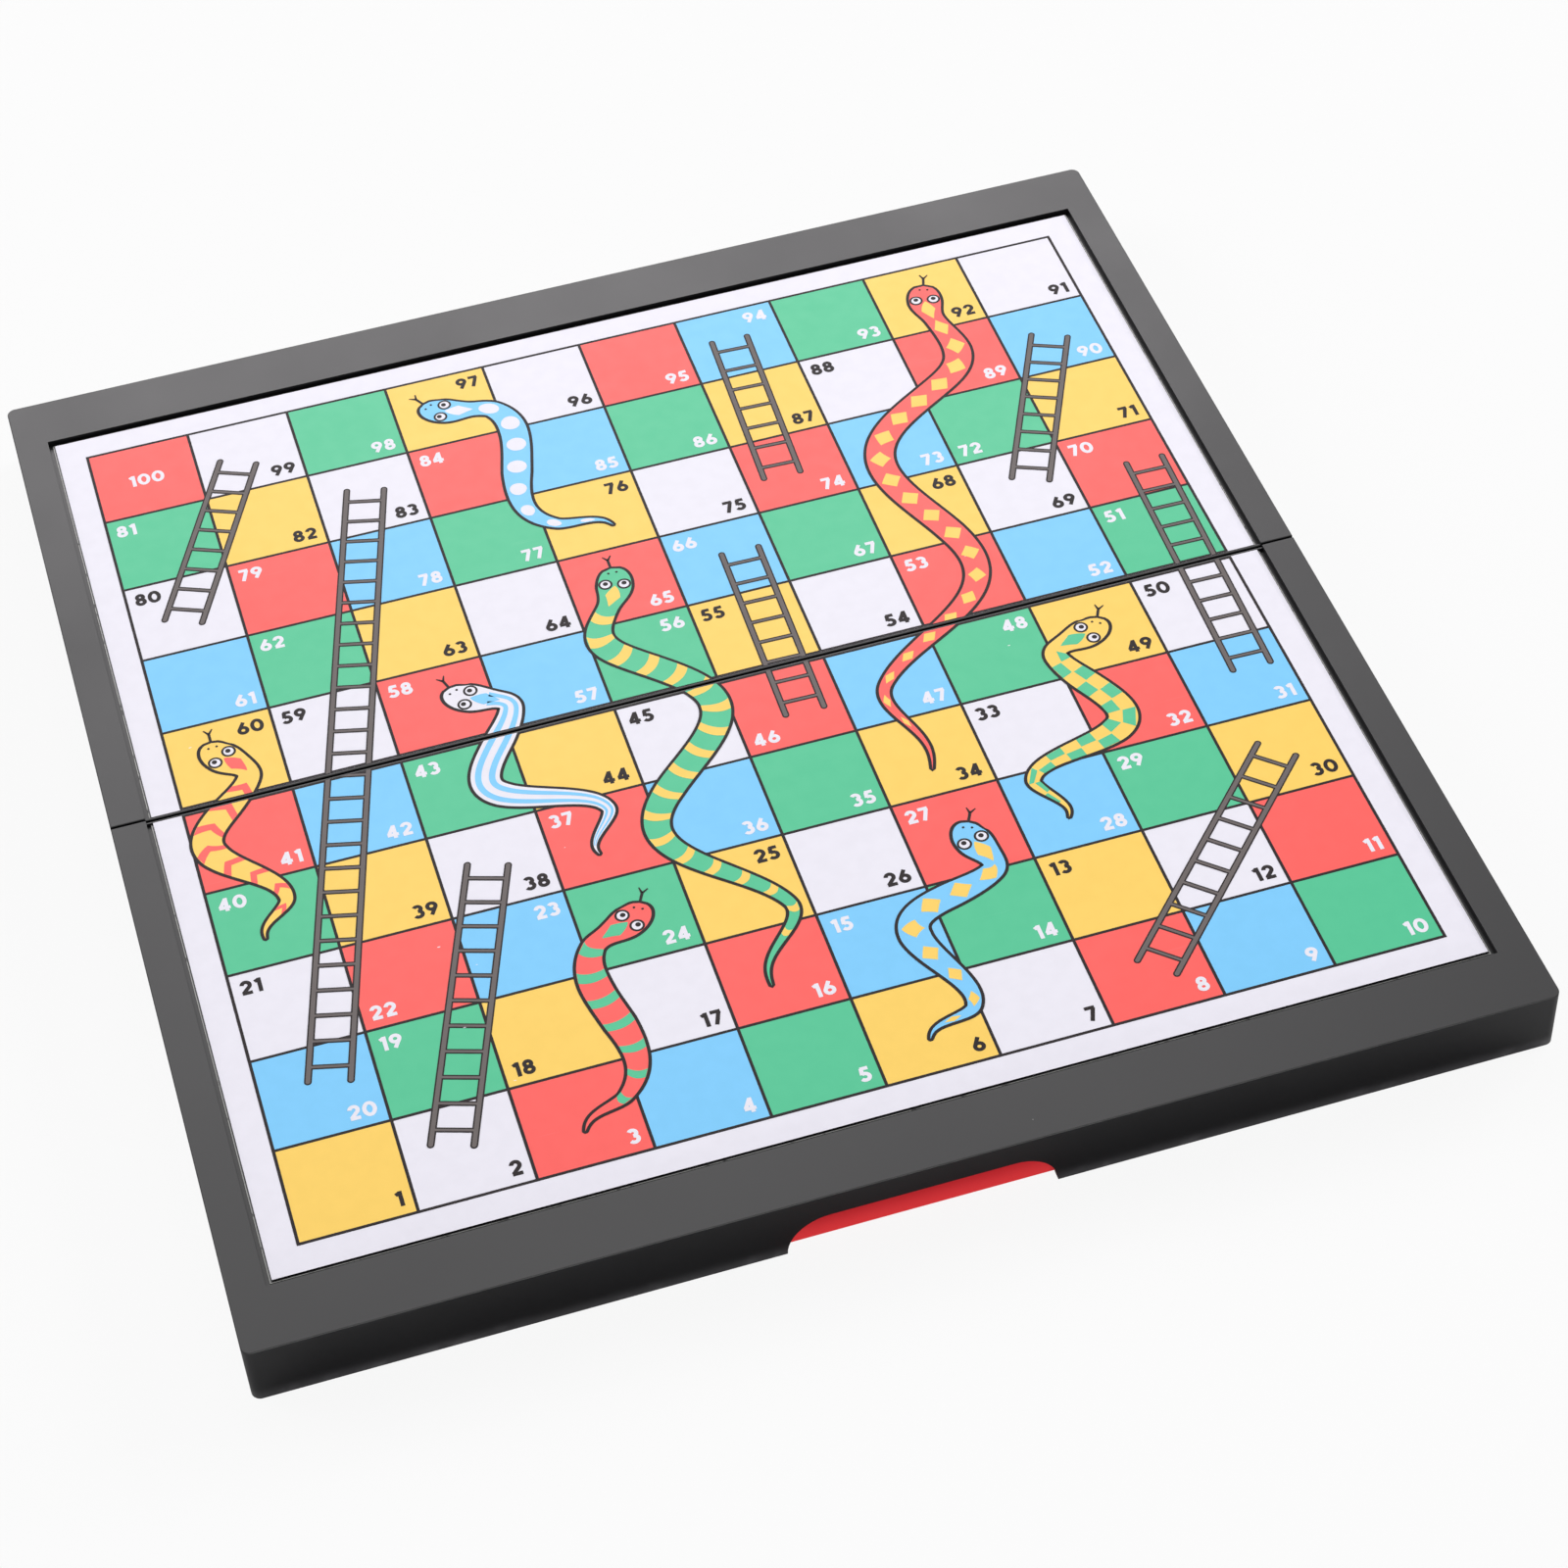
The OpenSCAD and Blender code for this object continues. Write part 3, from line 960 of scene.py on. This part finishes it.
def makeInk(ink, plates, half, sign):
    # all plates of one ink as one mesh, cut at the fold edge of one half and closed again there
    allPoints, allFaces = zip(*plates)
    starts = np.cumsum([0] + [len(points) for points in allPoints])
    points = np.vstack(allPoints) * mm
    faces = np.vstack([faces + start for faces, start in zip(allFaces, starts)])
    mesh = bpy.data.meshes.new(half + "_" + ink + "_ink")
    mesh.from_pydata(points.tolist(), [], faces.tolist())
    work = bmesh.new()
    work.from_mesh(mesh)
    everything = work.verts[:] + work.edges[:] + work.faces[:]
    fold = {"plane_co": (0, sign * board["cutY"] * mm, 0), "plane_no": (0, -sign, 0)}
    bmesh.ops.bisect_plane(work, geom=everything, dist=1e-8, clear_outer=True, **fold)
    bmesh.ops.holes_fill(work, edges=[edge for edge in work.edges if edge.is_boundary], sides=0)
    work.to_mesh(mesh)
    work.free()
    mesh.materials.append(inkFinishes[ink])
    piece = bpy.data.objects.new(mesh.name, mesh)
    bpy.context.scene.collection.objects.link(piece)
    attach(piece, half + "_half")
    return piece


for ink, plates in inkPlates.items():
    for half, sign in (("front", -1), ("rear", 1)):
        piece = makeInk(ink, plates, half, sign)
        print("board:", piece.name, len(piece.data.polygons), "faces")

studio = {
    "floor": 60.0,  # m
    "floorLevel": -0.00005,  # m, just under the board
    "floorColour": (0.60, 0.60, 0.60),
    "floorClear": 0.92,  # how far the camera sees the white world and a folded half through it
    "floorGlint": 0.01,  # the same for what a gloss or glass shows of it
    "fill": 0.04,  # world light on the object
}
# toward is the way from the board to the lamp, far and size are in mm, and gleams says whether a gloss
# shows the lamp
lamps = {
    "rear soft box": {
        "toward": (0.14, 0.87, 0.60), "far": 2500, "size": (1580, 780), "power": 15.4,
        "colour": (1.0, 0.96, 0.99), "gleams": True,
    },
    "rear top box": {
        "toward": (0.05, 0.66, 0.88), "far": 2200, "size": (1500, 1100), "power": 5.8,
        "colour": (1.0, 1.0, 1.0), "gleams": True,
    },
    "right side": {
        "toward": (1.0, 0.40, 0.43), "far": 3000, "size": (2000, 1050), "power": 114.0,
        "colour": (1.0, 1.0, 1.0), "gleams": False,
    },
    "left side": {
        "toward": (-1.0, 0.75, 0.58), "far": 3000, "size": (2400, 1500), "power": 76.0,
        "colour": (1.0, 1.0, 1.0), "gleams": False,
    },
    "low front card": {
        "toward": (-0.05, -1.0, 0.07), "far": 800, "size": (900, 110), "power": 3.1,
        "colour": (1.0, 1.0, 1.0), "gleams": True,
    },
    "card under the floor": {
        "toward": (0.0, 0.0, -1.0), "far": 900, "size": (900, 900), "power": 7.0,
        "colour": (1.0, 1.0, 1.0), "gleams": False,
    },
}


def seenRays(f, names):
    # 1 for a ray of one of these kinds, else 0
    rays = [f.node("ShaderNodeLightPath", output="Is " + name + " Ray") for name in names]
    return sum(rays[1:], rays[0])


def makeFloor(spec):
    # one square, mixed with a clear shader by the kind of ray
    side, level = spec["floor"] / 2, spec["floorLevel"]
    mesh = bpy.data.meshes.new("floor")
    corners = [(-side, -side, level), (side, -side, level), (side, side, level), (-side, side, level)]
    mesh.from_pydata(corners, [], [(0, 1, 2, 3)])
    floor = bpy.data.objects.new("floor", mesh)
    bpy.context.scene.collection.objects.link(floor)
    f = Finish("white floor")
    paint = f.node("ShaderNodeBsdfDiffuse", None, {"Color": rgba(spec["floorColour"])})
    clear = f.node("ShaderNodeBsdfTransparent", None, {"Color": (1, 1, 1, 1)})
    glint = seenRays(f, ["Glossy", "Transmission"]) * spec["floorGlint"]
    seen = seenRays(f, ["Camera"]) * spec["floorClear"] + glint + seenRays(f, ["Shadow"])
    mixed = f.node("ShaderNodeMixShader", None, {0: seen, 1: paint, 2: clear})
    f.node("ShaderNodeOutputMaterial", None, {"Surface": mixed})
    mesh.materials.append(f.material)


def makeWorld(spec):
    # white to the camera, in gloss and in glass, and a weak fill light
    world = bpy.data.worlds.new("studio")
    bpy.context.scene.world = world
    world.use_nodes = True
    f = Finish("studio", world.node_tree)
    seen = seenRays(f, ["Camera", "Glossy", "Transmission"])
    strength = seen.math("MINIMUM", seen, 1.0) * (1.0 - spec["fill"]) + spec["fill"]
    sky = f.node("ShaderNodeBackground", None, {"Color": (1, 1, 1, 1), "Strength": strength})
    f.node("ShaderNodeOutputWorld", None, {"Surface": sky})


def makeLamp(name, spec):
    # area lamp that faces the board
    data = bpy.data.lights.new(name, "AREA")
    data.shape = "RECTANGLE"
    data.size, data.size_y = (side * mm for side in spec["size"])
    data.energy = spec["power"]
    data.color = spec["colour"]
    lamp = bpy.data.objects.new(name, data)
    bpy.context.scene.collection.objects.link(lamp)
    toward = Vector(spec["toward"]).normalized()
    lamp.location = toward * spec["far"] * mm
    lamp.rotation_euler = (-toward).to_track_quat("-Z", "Y").to_euler()
    lamp.visible_glossy = spec["gleams"]
    lamp.visible_camera = False


makeFloor(studio)
makeWorld(studio)
for name, spec in lamps.items():
    makeLamp(name, spec)
bpy.context.scene.view_settings.view_transform = "Standard"
print("board: floor, world and lamps set")
